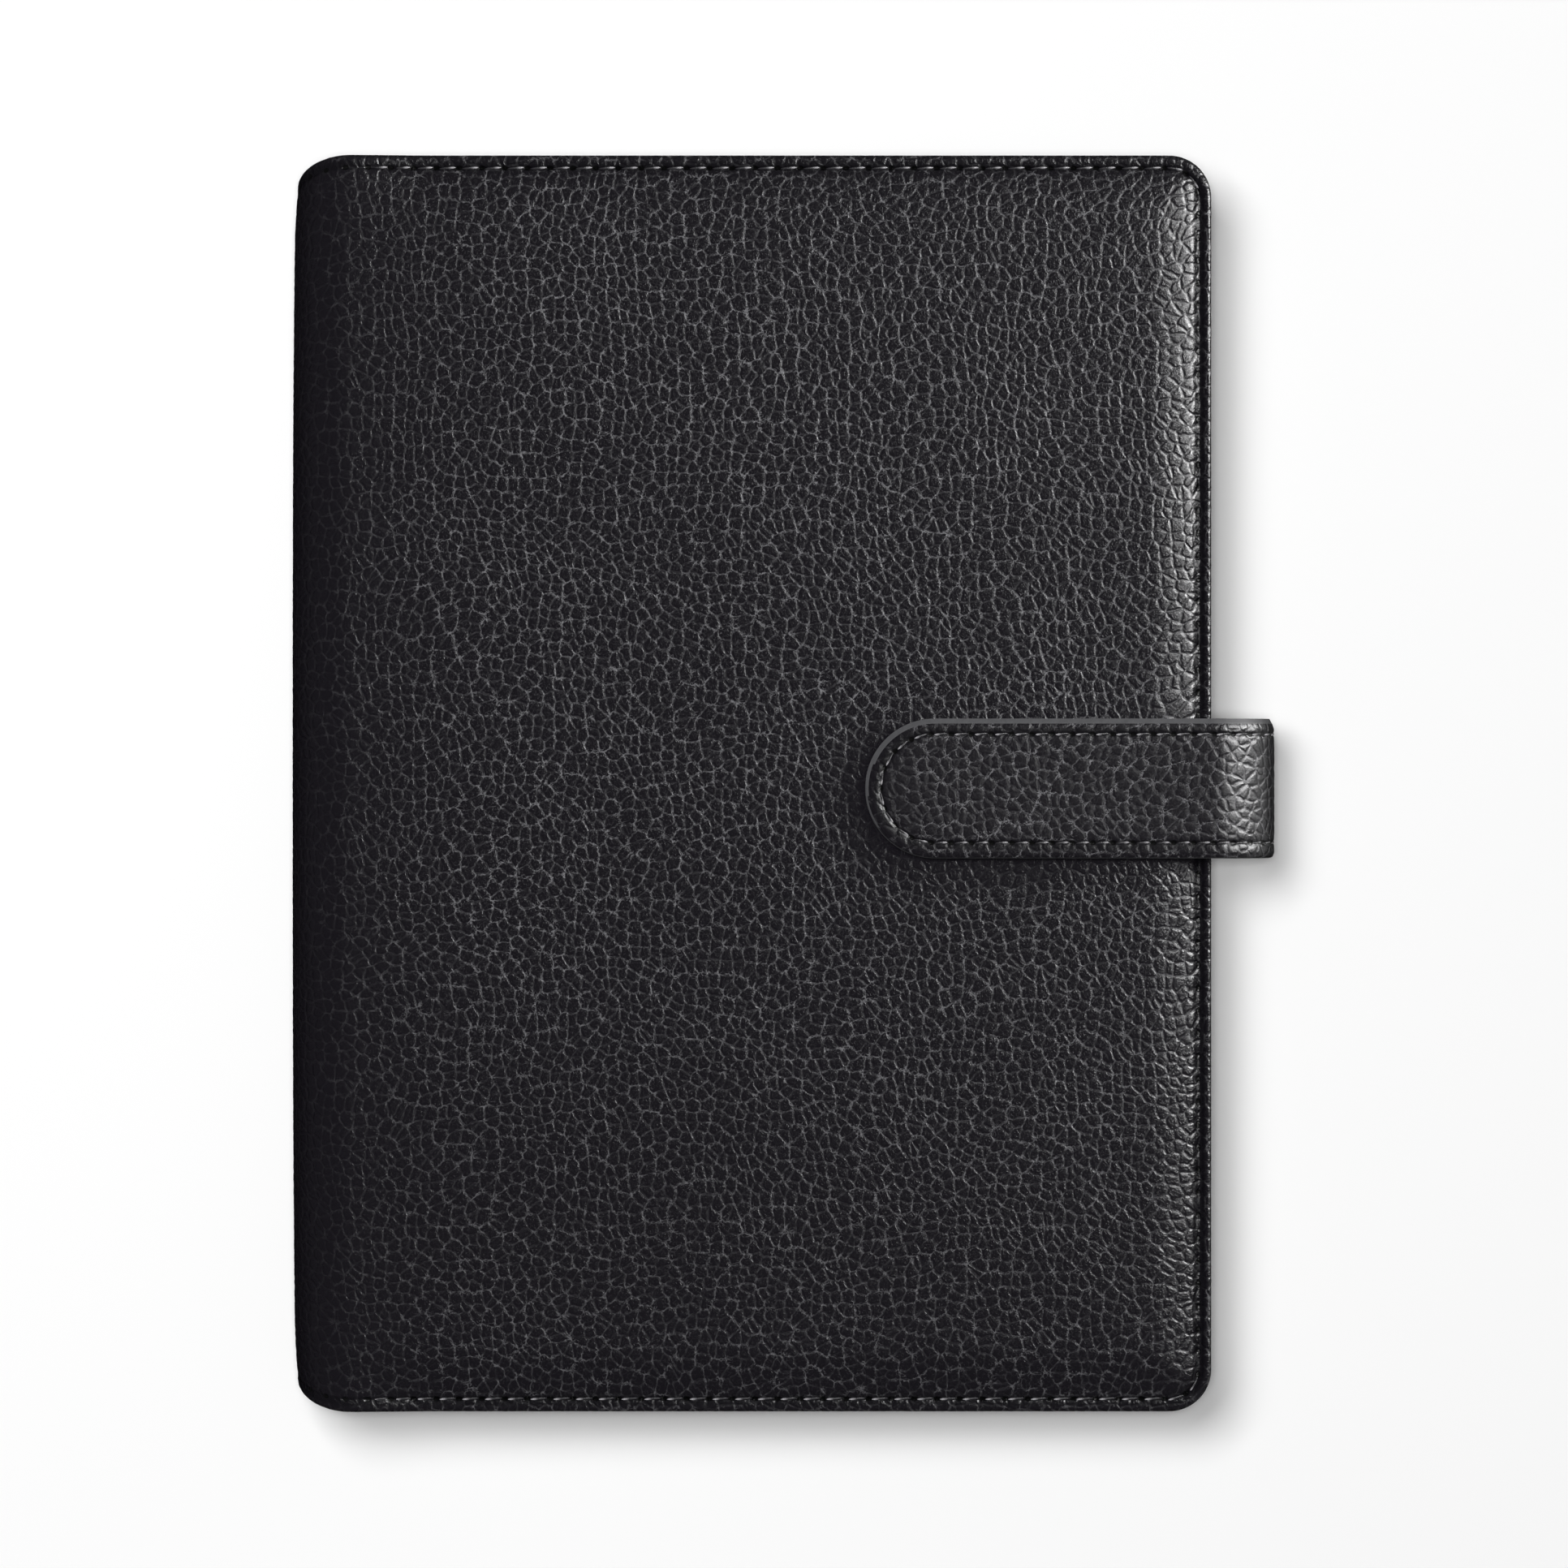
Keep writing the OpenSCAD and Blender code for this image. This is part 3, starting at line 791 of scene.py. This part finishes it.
def sew(name, bead, places):
    """Copies a stitch to each place, which is its middle, its direction and the way it faces."""
    copies = []
    for middle, direction, facing in places:
        x_axis = Vector(direction).normalized()
        z_axis = Vector(facing).normalized()
        y_axis = z_axis.cross(x_axis).normalized()
        z_axis = x_axis.cross(y_axis)
        turn = Matrix((x_axis, y_axis, z_axis)).transposed().to_4x4()
        copy = bpy.data.objects.new(name, bead.data.copy())
        copy.data.transform(Matrix.Translation(Vector(middle)) @ turn)
        bpy.context.scene.collection.objects.link(copy)
        copies.append(copy)
    pick_up(*copies)
    bpy.ops.object.join()
    seam = bpy.context.object
    seam.name = name
    bpy.data.objects.remove(bead)
    pick_up(seam)
    bpy.ops.object.shade_smooth()
    cover_with(seam, THREAD)
    return seam


def slant(direction, facing, degrees):
    """Turns a direction a little about the way the surface faces."""
    return Matrix.Rotation(math.radians(degrees), 3, Vector(facing)) @ Vector(direction)


def walk(outline, count):
    """Middles and directions of a count of equal steps along a line of points."""
    outline = np.array(outline)
    lengths = np.concatenate([[0], np.cumsum(np.linalg.norm(np.diff(outline, axis=0), axis=1))])
    middles = (np.arange(count) + 0.5) * lengths[-1] / count
    reach = 0.4 * lengths[-1] / count

    def at(run):
        return np.stack([np.interp(run, lengths, outline[:, k]) for k in range(outline.shape[1])], axis=1)

    return at(middles), at(middles + reach) - at(middles - reach)


def turn_points(centre, radius, from_deg, to_deg, count=10):
    """Points of an arc about a centre."""
    angles = np.radians(np.linspace(from_deg, to_deg, count))
    return [(centre[0] + radius * math.cos(a), centre[1] + radius * math.sin(a)) for a in angles]


def cover_seam(inset, start_x):
    """The line of the border stitching from head to tail, seen from above."""
    right = fore_x - corner_r
    up = half_h - corner_r
    radius = corner_r - inset
    line = [(start_x, half_h - inset)]
    line += turn_points((right, up), radius, 90, 0)
    line += turn_points((right, -up), radius, 0, -90)
    line += [(start_x, inset - half_h)]
    return line


# ---- cover pieces ----

def stitch_place(x, y, z, way, facing, is_back):
    """Place of a stitch on a cover, leaning a little out of its line. Facing is 1 up and -1 down on
    the front cover, and the other way about on the back one."""
    if is_back:
        z, facing = top_z - z, -facing
    up = (0, 0, facing)
    return (x, y, z), slant((*way, 0), up, 5), up


def cover_stitching(name, is_back):
    """The border stitching of one cover, which shows outside and again inside."""
    middles, ways = walk(cover_seam(stitch_inset, panel_x), seam_stitches)
    places = []
    for (x, y), way in zip(middles, ways):
        in_pocket = x > pocket_low.x
        inner_z = lining_low.z - 0.05 * MM - (pocket_t if in_pocket else 0)
        sunk = 0.75 * MM * fore_share(fore_x - x, half_h - abs(y))
        groove_z = top_z - border_depth * border_share(x) - 0.2 * MM
        places.append(stitch_place(x, y, groove_z - sunk, way, 1, is_back))
        places.append(stitch_place(x, y, inner_z, way, -1, is_back))
    bead = stitch_bead(length=0.76 * stitch_pitch, width=0.46 * MM, height=0.4 * MM, dip=0.22 * MM)
    return sew(name, bead, places)


def lining_sheet(name, is_back):
    """Lining cloth of one cover, over the board, down at the hinge and over the spine's stay."""
    columns = mesh_lines(cover_run - sheet_inset, 2.4 * MM, 1)
    rows = mesh_lines(2 * (half_h - sheet_inset), 3 * MM, 1)
    piece = slab(name, len(columns) - 1, len(rows) - 1)
    share = points_of(piece)
    to_edge, _, y, _ = cover_pattern(share, columns, rows, sheet_inset)
    to_edge = to_edge + sheet_inset
    x = fore_x - to_edge
    along = cover_run - to_edge
    flat_depth = top_z - board_low.z + 0.02 * MM
    stay_depth = leather_t + 0.85 * MM
    hinge_depth = leather_t + 0.05 * MM
    depth = hinge_depth + ease(x, spine_x, panel_x) * (flat_depth - hinge_depth)
    depth += ease(-along, -0.55 * arc_run, -0.42 * arc_run) * (stay_depth - hinge_depth)
    on_spine = np.clip(along / arc_run, 0, 1)
    y = y * (1 - (1 - on_spine) * 2.5 * MM / half_h)
    depth += np.where(share[:, 2] > 0.5, 0, sheet_t)
    points = on_cover(to_edge, y, depth)
    move_points(piece, flip(points) if is_back else points)
    turn_faces_out(piece)
    smooth(piece, 40)
    cover_with(piece, LINING_CLOTH)
    return piece


def pocket_panel(name, is_back):
    """Pocket leather: flat over the notebook's board, pinched down to the lining at three edges,
    with a folded hem at the open one."""
    inset = sheet_inset
    width = fore_x - inset - pocket_low.x
    columns = mesh_lines(width, 2.5 * MM, 1, at_start=(0, 0.5, 1.1, 2, 2.9, 3.8), at_end=HEM_LINES)
    rows = mesh_lines(2 * half_h - 2 * inset, 3 * MM, 1, at_start=HEM_LINES, at_end=HEM_LINES)
    piece = slab(name, len(columns) - 1, len(rows) - 1)
    share = points_of(piece)
    to_edge, _, y, edge = cover_pattern(share, columns, rows, inset)
    drop = top_z - lining_low.z + 0.03 * MM
    sink = (lining_low.z - 0.03 * MM) - (pocket_low.z + pocket_t)
    depth = drop + sink * ease(edge, 1.2 * MM, 3.2 * MM)
    hem = np.exp(-((width - to_edge - 1.2 * MM) / (1.2 * MM)) ** 4)
    inner = share[:, 2] < 0.5
    depth += np.where(inner, pocket_t + 0.25 * MM * hem * ease(edge, 1 * MM, 3 * MM), 0)
    points = on_cover(to_edge + inset, y, depth)
    move_points(piece, flip(points) if is_back else points)
    turn_faces_out(piece)
    smooth(piece, 45)
    cover_with(piece, POCKET_LEATHER)
    return piece


def hem_stitching(name, is_back):
    """Stitching along the open edge of a pocket."""
    x = pocket_low.x + 3 * MM
    end = half_h - 5 * MM
    z = pocket_low.z - 0.05 * MM
    middles, ways = walk([(x, -end), (x, end)], round(2 * end / hem_stitch_pitch))
    places = [stitch_place(x, y, z, way, -1, is_back) for (x, y), way in zip(middles, ways)]
    bead = stitch_bead(length=2.6 * MM, width=0.42 * MM, height=0.34 * MM, dip=0.15 * MM)
    return sew(name, bead, places)


def card_slot(node):
    """A card slot: a leather patch with round lower corners, a rolled lip and a seam round it."""
    low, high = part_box(node)
    width = high.x - low.x
    tall = high.y - low.y
    put_down()
    bpy.ops.mesh.primitive_cube_add(size=1, location=(low + high) / 2, scale=high - low)
    piece = named(node + "_patch")
    edit(piece)
    bpy.ops.mesh.bevel(offset=0.18 * MM, segments=2, affect="EDGES")
    for step in range(1, 4):
        bpy.ops.mesh.select_all(action="SELECT")
        bpy.ops.mesh.bisect(plane_co=(0, high.y - step * 0.6 * MM, 0), plane_no=(0, 1, 0))
    put_down()
    points = points_of(piece)
    lip = np.exp(-((points[:, 1] - high.y + 0.6 * MM) / (0.7 * MM)) ** 2)
    facing_down = points[:, 2] < (low.z + high.z) / 2
    points[:, 2] -= np.where(facing_down, 0.12 * MM * lip, 0)
    move_points(piece, points)
    smooth(piece, 40)
    cover_with(piece, POCKET_LEATHER)
    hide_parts(node)
    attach(piece, "front")
    inset = 1.2 * MM
    line = [(low.x + inset, high.y - 0.8 * MM), (low.x + inset, low.y + inset)]
    line += [(high.x - inset, low.y + inset), (high.x - inset, high.y - 0.8 * MM)]
    count = round((width + 2 * tall - 4 * inset) / card_stitch_pitch)
    middles, ways = walk(line, count)
    places = [((x, y, low.z - 0.02 * MM), (a, b, 0), (0, 0, -1)) for (x, y), (a, b) in zip(middles, ways)]
    bead = stitch_bead(length=1.9 * MM, width=0.34 * MM, height=0.26 * MM, dip=0.12 * MM)
    seam = sew(node + "_stitches", bead, places)
    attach(seam, "front")


# ---- strap ----

def on_strap(run, y, depth):
    """Points of the strap's upper half from their distance along its outside from the middle of
    its bend, their height and their depth."""
    angle = np.clip(run / strap_r, 0, math.pi / 2)
    flat = np.maximum(run - strap_arc_run, 0)
    x = strap_x + (strap_r - depth) * np.cos(angle) - flat
    z = strap_mid_z + (strap_r - depth) * np.sin(angle)
    return np.stack([x, y, z], axis=1)


def under_strap(points):
    """Puts points of the upper half on the lower half."""
    return points * [1, 1, -1] + [0, 0, 2 * strap_mid_z]


strap_side_run = tab_run - strap_half
strap_half_seam = strap_side_run + (strap_half - strap_stitch_inset) * math.pi / 2
strap_stitches = 2 * round(strap_half_seam / strap_stitch_pitch)
strap_seam_step = 2 * strap_half_seam / strap_stitches


def strap_layer(name, upper, outer):
    """One layer of one half of the strap. The outer layer is pebbled leather with a sloped, painted
    edge and a stitch groove, and the inner one is its smooth lining."""
    length = tab_run if upper else tail_run
    step = 0.55 * MM if outer else 1.1 * MM
    columns = mesh_lines(length, step, 1, at_end=STRAP_LINES if upper else (0,))
    rows = mesh_lines(2 * strap_half, step, 1, at_start=STRAP_LINES, at_end=STRAP_LINES)
    piece = slab(name, len(columns) - 1, len(rows) - 1)
    share = points_of(piece)
    run = lines_at(columns, share[:, 0])
    y = lines_at(rows, share[:, 1]) - strap_half
    to_side = strap_half - np.abs(y)
    to_tip = length - run if upper else np.full_like(run, 1.0)
    edge = np.minimum(to_side, to_tip)
    to_tip, to_side = round_off(to_tip, to_side, strap_half)
    if upper:
        run = length - to_tip
    y = np.sign(y) * (strap_half - to_side)
    outside = share[:, 2] > 0.5
    # The painted edge slopes more on the side towards the head.
    slope_w = (0.22 + 0.85 * ease(y / strap_half, -1, 0.9)) * MM
    if outer:
        fall = np.clip(1 - edge / slope_w, 0, 1)
        depth = 0.25 * MM * ease(-edge, -slope_w - 0.9 * MM, -slope_w) + 0.62 * MM * fall
        depth += 0.3 * MM * np.exp(-((edge - strap_stitch_inset) / (0.25 * MM)) ** 2)
        seam = strap_side_run - np.maximum(to_tip - strap_half, 0) if upper else run
        turn = np.arctan2(np.maximum(strap_half - to_tip, 0), np.maximum(strap_half - to_side, 1e-6))
        seam = seam + turn * (strap_half - strap_stitch_inset) * (1 if upper else 0)
        if upper:
            seam = np.where(y > 0, seam, 2 * strap_half_seam - seam)
        pull = 0.5 + 0.5 * np.cos(2 * math.pi * seam / strap_seam_step)
        depth += 0.12 * MM * pull * np.exp(-((edge - strap_stitch_inset) / (1.2 * MM)) ** 2)
        depth -= 0.1 * MM * ease(edge, strap_stitch_inset + 0.5 * MM, 8 * MM)
        depth = np.where(outside, np.maximum(depth, 0), strap_layer_t)
    else:
        rim = 0.3 * MM * np.clip(1 - edge / (0.3 * MM), 0, 1) ** 2
        depth = np.where(outside, strap_layer_t, 2 * strap_layer_t - rim)
    points = on_strap(run, y + strap_y, depth)
    move_points(piece, points if upper else under_strap(points))
    if outer:
        relief = outside * ease(edge - slope_w, 0.1 * MM, 0.9 * MM)
        relief *= 0.4 + 0.6 * ease(np.abs(edge - strap_stitch_inset), 0, 1.6 * MM)
        add_values(piece, "relief", relief)
        # Painted shade: the creases' painted sheen fades towards the strap's tip.
        add_values(piece, "painted_light", 0.2 + 0.75 * ease(to_tip, 3 * MM, 14 * MM))
        signed = run if upper else -run
        add_uv(piece, "grain", signed + 0.31, y + 0.07)
        from_seam = (edge - strap_stitch_inset) / MM + np.where(outside, 0, 9)
        add_uv(piece, "seam", seam / strap_seam_step, from_seam)
    turn_faces_out(piece)
    if outer:
        raise_pebbles(piece, 2 * pebble_rise)
    smooth(piece, 50)
    cover_with(piece, STRAP_LEATHER if outer else STRAP_LINING, EDGE_PAINT)
    painted = edge < slope_w + 0.02 * MM if outer else edge < 0.05 * MM
    # The second material, the paint, is on the walls and on the outer layer's slope.
    for face in piece.data.polygons:
        corners = list(face.vertices)
        wall = outside[corners].min() != outside[corners].max()
        face.material_index = int(wall or (outer and outside[corners].all() and painted[corners].all()))
    return piece


def strap_stitching(name, upper):
    inset = strap_half - strap_stitch_inset
    if upper:
        line = [(0, inset)]
        line += [(tab_run - strap_half + x, y) for x, y in turn_points((0, 0), inset, 90, -90, 24)]
        line += [(0, -inset)]
        lines = [(line, strap_stitches)]
    else:
        reach = strap_arc_run - 0.4 * MM
        count = round(reach / strap_stitch_pitch)
        lines = [([(0, side * inset), (reach, side * inset)], count) for side in (1, -1)]
    places = []
    for line, count in lines:
        middles, ways = walk(line, count)
        runs, ys = middles.T
        depth = 0.22 * MM
        spots = on_strap(runs, ys + strap_y, np.full_like(runs, depth))
        ahead = on_strap(runs + ways[:, 0] * 0.1, ys + ways[:, 1] * 0.1 + strap_y, np.full_like(runs, depth))
        above = on_strap(runs, ys + strap_y, np.full_like(runs, depth - MM))
        if not upper:
            spots, ahead, above = under_strap(spots), under_strap(ahead), under_strap(above)
        for spot, next_spot, top in zip(spots, ahead, above):
            facing = top - spot
            places.append((spot, slant(next_spot - spot, facing, 6), facing))
    bead = stitch_bead(length=0.72 * strap_stitch_pitch, width=0.46 * MM, height=0.4 * MM, dip=0.2 * MM)
    return sew(name, bead, places)


# ---- snap ----

def spun(name, profile, centre, facets=48):
    """A round piece from the outline of its half, spun about the upright line through centre."""
    put_down()
    bpy.ops.mesh.primitive_plane_add(size=1)
    piece = named(name)
    piece.data.clear_geometry()
    points = [(centre[0] + r, centre[1], z) for r, z in profile]
    steps = [(i, i + 1) for i in range(len(points) - 1)]
    piece.data.from_pydata(points, steps, [])
    edit(piece)
    bpy.ops.mesh.spin(steps=facets, angle=2 * math.pi, center=(centre[0], centre[1], 0), axis=(0, 0, 1))
    bpy.ops.mesh.select_all(action="SELECT")
    bpy.ops.mesh.remove_doubles(threshold=0.005 * MM)
    turn_faces_out(piece)
    smooth(piece, 35)
    cover_with(piece, NICKEL)
    return piece


def rounded(corners, radius, steps=4):
    """A half outline with each inner corner rounded."""
    out = [corners[0]]
    for before, here, after in zip(corners, corners[1:], corners[2:]):
        here = Vector(here)
        first = here + (Vector(before) - here).normalized() * radius
        last = here + (Vector(after) - here).normalized() * radius
        for step in range(steps + 1):
            t = step / steps
            out.append(tuple((1 - t) ** 2 * first + 2 * t * (1 - t) * here + t * t * last))
    out.append(corners[-1])
    return out


def snap_pieces():
    """Both halves of the magnetic snap, as turned shells with rolled rims."""
    bore_r = 2.6 * MM
    wall = 0.4 * MM
    top, foot = socket_high.z, socket_low.z
    outline = [(snap_r - wall, foot), (snap_r, foot), (snap_r, top - 0.12 * MM), (snap_r - 1.4 * MM, top)]
    outline += [(bore_r + 0.5 * MM, top), (bore_r, top - 0.15 * MM), (bore_r, top - wall)]
    outline += [(snap_r - wall, top - wall), (snap_r - wall, foot)]
    socket = spun("snap_socket_shell", rounded(outline, 0.11 * MM), (snap_x, strap_y))
    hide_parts("snap_socket")
    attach(socket, "front")
    nose_r = 2.3 * MM
    flange = stud_high.z - 0.5 * MM
    outline = [(0, stud_low.z), (nose_r - 0.3 * MM, stud_low.z), (nose_r, stud_low.z + 0.4 * MM)]
    outline += [(nose_r, flange), (snap_r - 1.2 * MM, flange), (snap_r, flange + 0.15 * MM)]
    outline += [(snap_r, stud_high.z), (0, stud_high.z)]
    stud = spun("snap_stud_disc", rounded(outline, 0.11 * MM), (snap_x, strap_y))
    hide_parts("snap_stud")
    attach(stud, "strap_tab")


# ---- the camera, the floor and the lights ----

def make_camera():
    """Looks straight down on the shut cover, from far off."""
    view_w = 280.4 * MM
    camera = bpy.data.cameras.new("camera")
    camera.lens = 200
    camera.sensor_width = 36
    viewpoint = bpy.data.objects.new("camera", camera)
    viewpoint.location = (6 * MM, -0.1 * MM, top_z + view_w * camera.lens / camera.sensor_width)
    bpy.context.scene.collection.objects.link(viewpoint)
    bpy.context.scene.camera = viewpoint


def make_floor():
    put_down()
    bpy.ops.mesh.primitive_plane_add(size=12)
    floor = named("floor")
    material, tree, surface = new_material("white_floor", **{"Specular IOR Level": 0.1, "Roughness": 0.9})
    haze = noise(place(tree), 0.4, detail=1.0, flat=False)
    link(blend_colours(haze, (0.9, 0.9, 0.9, 1), (0.92, 0.92, 0.92, 1)), surface["Base Color"])
    cover_with(floor, material)


def make_flag():
    """A black card on the floor beside the spine, seen only in the leather's gloss."""
    put_down()
    bpy.ops.mesh.primitive_plane_add(size=1, location=(-0.37, 0, 0.6 * MM), scale=(0.56, 0.7, 1))
    flag = named("black_flag")
    material, tree, surface = new_material("black_card", **{"Roughness": 1.0, "Specular IOR Level": 0.0})
    fleck = noise(place(tree), 2 * MM)
    link(blend_colours(fleck, (0.002, 0.002, 0.002, 1), (0.006, 0.006, 0.006, 1)), surface["Base Color"])
    cover_with(flag, material)
    flag.visible_camera = False
    flag.visible_diffuse = False
    flag.visible_shadow = False
    flag.visible_transmission = False


def lamp(name, place_at, aim, size, power, glossy=True, diffuse=True):
    light = bpy.data.lights.new(name, "AREA")
    light.shape = "RECTANGLE"
    light.size, light.size_y = size
    light.energy = power
    holder = bpy.data.objects.new(name, light)
    holder.location = place_at
    holder.rotation_euler = (Vector(aim) - Vector(place_at)).to_track_quat("-Z", "Y").to_euler()
    holder.visible_glossy = glossy
    holder.visible_diffuse = diffuse
    bpy.context.scene.collection.objects.link(holder)


def make_lights():
    """Two lamps overhead light the floor and throw the soft shadow, and two softboxes beyond the
    fore-edge are seen only in the gloss."""
    middle = (0, 0, 0.01)
    lamp("key", (-0.43, 0.43, 1.65), middle, (0.72, 0.72), 21.5, glossy=False)
    lamp("overhead", (0, 0, 2.2), middle, (0.35, 0.35), 19.6, glossy=False)
    lamp("side_softbox", (0.55, 0.24, 0.38), (0.07, 0.08, 0.02), (0.3, 0.5), 7.2, diffuse=False)
    lamp("low_softbox", (0.6, 0.2, 0.12), (0.07, 0.08, 0.02), (0.16, 0.6), 6.8, diffuse=False)
    world = bpy.data.worlds.new("studio")
    bpy.context.scene.world = world
    world.use_nodes = True
    world.node_tree.nodes["Background"].inputs[0].default_value = (1, 1, 1, 1)
    world.node_tree.nodes["Background"].inputs[1].default_value = 0.06
    bpy.context.scene.view_settings.view_transform = "Standard"


# ---- putting it together ----

make_camera()
make_floor()
make_flag()
make_lights()

for cover, is_back, grain_shift in (("front", False, 0.0), ("back", True, 0.4)):
    leather = hide(cover + "_hide", is_back, grain_shift)
    cover_with(leather, HIDE_LEATHER)
    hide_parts(cover + "_leather", cover + "_padding", "spine_leather")
    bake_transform(leather)

for cover, is_back in (("front", False), ("back", True)):
    seam = cover_stitching(cover + "_stitches", is_back)
    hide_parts(cover + "_stitching")
    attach(seam, cover)
    sheet = lining_sheet(cover + "_lining_sheet", is_back)
    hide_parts(cover + "_lining", "spine_lining")
    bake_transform(sheet)
    pocket = pocket_panel(cover + "_pocket_panel", is_back)
    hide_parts(cover + "_pocket")
    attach(pocket, cover)
    hem = hem_stitching(cover + "_pocket_stitches", is_back)
    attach(hem, cover)

for row in ("lower", "middle", "upper"):
    card_slot("card_slot_" + row)

strap_halves = ("upper", True, "strap_tab", "strap_tab"), ("lower", False, "strap_root", "back")
for half, upper, node, body in strap_halves:
    pieces = [
        (strap_layer(f"strap_{half}_leather", upper, True), "leather"),
        (strap_layer(f"strap_{half}_lining", upper, False), "lining"),
        (strap_stitching(f"strap_{half}_stitches", upper), "stitching"),
    ]
    for piece, layer in pieces:
        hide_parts(f"{node}_{layer}", f"strap_side_{layer}")
        if upper:
            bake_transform(piece)
        else:
            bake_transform(piece)

snap_pieces()

for node, material in (
    ("front_board", GREY_BOARD), ("back_board", GREY_BOARD), ("spine_stay", GREY_BOARD),
    ("notebook_front_board", BOOK_CLOTH), ("notebook_back_board", BOOK_CLOTH),
    ("lower_spine_cloth", BOOK_CLOTH), ("upper_spine_cloth", BOOK_CLOTH),
    ("lower_pages", PAPER), ("upper_pages", PAPER),
    ("snap_magnet", FERRITE), ("socket_washer", NICKEL), ("stud_washer", NICKEL),
):
    cover_with(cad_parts[node], material)
